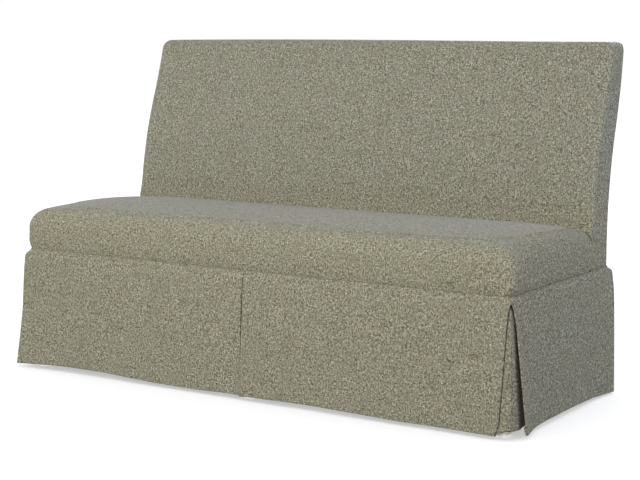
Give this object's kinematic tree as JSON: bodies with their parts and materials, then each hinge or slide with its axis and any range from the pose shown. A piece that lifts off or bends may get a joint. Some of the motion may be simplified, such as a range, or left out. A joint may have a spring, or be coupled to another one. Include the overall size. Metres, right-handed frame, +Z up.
{
  "type": "banquette",
  "caption": "Skirted upholstered banquette: tight padded seat and raked padded back on a sprung hardwood frame, with a pleated skirt to the floor.",
  "frame": {"origin": "on the floor, midway between the sides and midway between the front hem and the top of the back", "axes": "+X to the right as seen from the front, +Y to the rear, +Z up"},
  "size_m": [1.62, 0.7277, 0.965],
  "materials": {
    "hardwood": "matte",
    "beech_dowel": "matte",
    "steel": "satin",
    "spring_wire": "satin",
    "glide_plastic": "satin",
    "foam": "matte",
    "fibre_wrap": "matte",
    "felt": "matte",
    "jute": "matte",
    "board": "matte",
    "tweed": "matte",
    "skirt_tweed": "matte",
    "lining": "matte",
    "dust_cloth": "matte"
  },
  "bodies": {
    "root": {"back_burlap": "jute", "back_foam": "foam", "back_lower_rail": "hardwood", "back_top_rail": "hardwood", "back_webbing": "jute", "back_wrap": "fibre_wrap", "clip_nails": "steel", "corner_block_screws": "steel", "corner_blocks": "hardwood", "dust_cover": "dust_cloth", "dust_cover_tacks": "steel", "floor_glides": "glide_plastic", "frame_dowels": "beech_dowel", "front_centre_leg": "hardwood", "front_left_leg": "hardwood", "front_rail": "hardwood", "front_right_leg": "hardwood", "inside_back_cover": "tweed", "left_back_post": "hardwood", "left_back_upright": "hardwood", "left_rail": "hardwood", "left_side_pad": "fibre_wrap", "left_stretcher": "hardwood", "leg_bolts": "steel", "outside_back_board": "board", "outside_back_cover": "tweed", "rear_centre_leg": "hardwood", "rear_rail": "hardwood", "right_back_post": "hardwood", "right_back_upright": "hardwood", "right_rail": "hardwood", "right_side_pad": "fibre_wrap", "right_stretcher": "hardwood", "seat_cover": "tweed", "seat_foam": "foam", "seat_insulator": "felt", "seat_springs": "spring_wire", "seat_wrap": "fibre_wrap", "skirt_front_centre_insert": "skirt_tweed", "skirt_front_left_insert": "skirt_tweed", "skirt_front_left_lining": "lining", "skirt_front_left_panel": "skirt_tweed", "skirt_front_right_insert": "skirt_tweed", "skirt_front_right_lining": "lining", "skirt_front_right_panel": "skirt_tweed", "skirt_left_lining": "lining", "skirt_left_panel": "skirt_tweed", "skirt_rear_centre_insert": "skirt_tweed", "skirt_rear_left_insert": "skirt_tweed", "skirt_rear_left_lining": "lining", "skirt_rear_left_panel": "skirt_tweed", "skirt_rear_right_insert": "skirt_tweed", "skirt_rear_right_lining": "lining", "skirt_rear_right_panel": "skirt_tweed", "skirt_right_lining": "lining", "skirt_right_panel": "skirt_tweed", "skirt_tack_strips": "board", "spring_clips": "steel", "spring_tie_wires": "spring_wire"}
  },
  "joints": []
}
